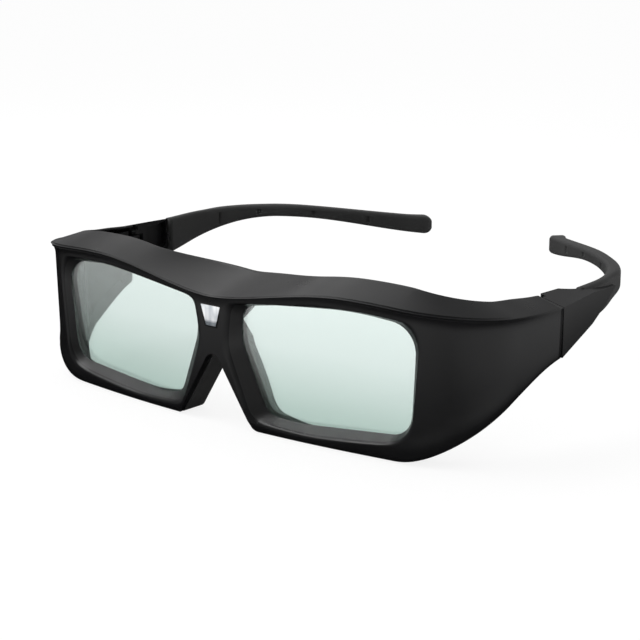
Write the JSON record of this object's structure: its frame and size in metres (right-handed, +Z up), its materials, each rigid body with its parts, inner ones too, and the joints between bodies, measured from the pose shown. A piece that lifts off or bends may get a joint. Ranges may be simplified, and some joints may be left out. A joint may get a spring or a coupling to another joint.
{
  "type": "active shutter 3d glasses",
  "caption": "Wrap-round active shutter 3D glasses: deep-browed black frame, recessed liquid crystal lenses, a sensor window over the nose and folding temples with bent rubber arms.",
  "frame": {"origin": "centre of the bounding box at the table plane under the frame's rims, with both temples open", "axes": "+X towards the wearer's left, +Y back along the temples, +Z up"},
  "size_m": [0.1654, 0.1356, 0.045],
  "materials": {
    "black_plastic": "satin moulded black",
    "black_rubber": "soft matt black",
    "foam": "fine closed-cell foam",
    "lens_glass": "clear, polished, pale green-grey",
    "polariser_film": "clear grey-green film",
    "clear_window": "clear, lightly frosted behind",
    "component_black": "moulded epoxy",
    "circuit_board": "solder mask",
    "polyimide": "thin amber film",
    "cell_steel": "nickel-plated steel",
    "contact_brass": "plated spring strip",
    "screw_steel": "blackened steel",
    "pin_steel": "bright steel"
  },
  "bodies": {
    "frame": {"front_shell": "black_plastic", "rear_shell": "black_plastic", "nose_pad": "black_rubber", "sensor_window": "clear_window", "ir_receiver": "component_black", "sensor_board": "circuit_board", "shutter_cell_left": "lens_glass", "shutter_cell_right": "lens_glass", "front_polariser_left": "polariser_film", "front_polariser_right": "polariser_film", "rear_polariser_left": "polariser_film", "rear_polariser_right": "polariser_film", "lens_gasket_left": "foam", "lens_gasket_right": "foam", "flex_cable": "polyimide", "controller_board": "circuit_board", "board_components": "component_black", "coin_cell": "cell_steel", "contact_positive": "contact_brass", "contact_negative": "contact_brass", "battery_door": "black_plastic", "battery_door_screw": "screw_steel", "case_screws": "screw_steel", "hinge_block_left": "black_plastic", "hinge_block_right": "black_plastic", "hinge_pin_left": "pin_steel", "hinge_pin_right": "pin_steel"},
    "left_temple": {"temple_base_left": "black_plastic", "temple_arm_left": "black_rubber", "arm_core_left": "pin_steel"},
    "right_temple": {"temple_base_right": "black_plastic", "temple_arm_right": "black_rubber", "arm_core_right": "pin_steel"}
  },
  "joints": [
    {"name": "left_fold", "type": "hinge", "parent": "frame", "child": "left_temple", "pos_m": [0.076, -0.02039, 0.03], "axis": [0, 0, 1], "range_deg": [0, 75]},
    {"name": "right_fold", "type": "hinge", "parent": "frame", "child": "right_temple", "pos_m": [-0.076, -0.02039, 0.03], "axis": [0, 0, -1], "range_deg": [0, 54]}
  ]
}
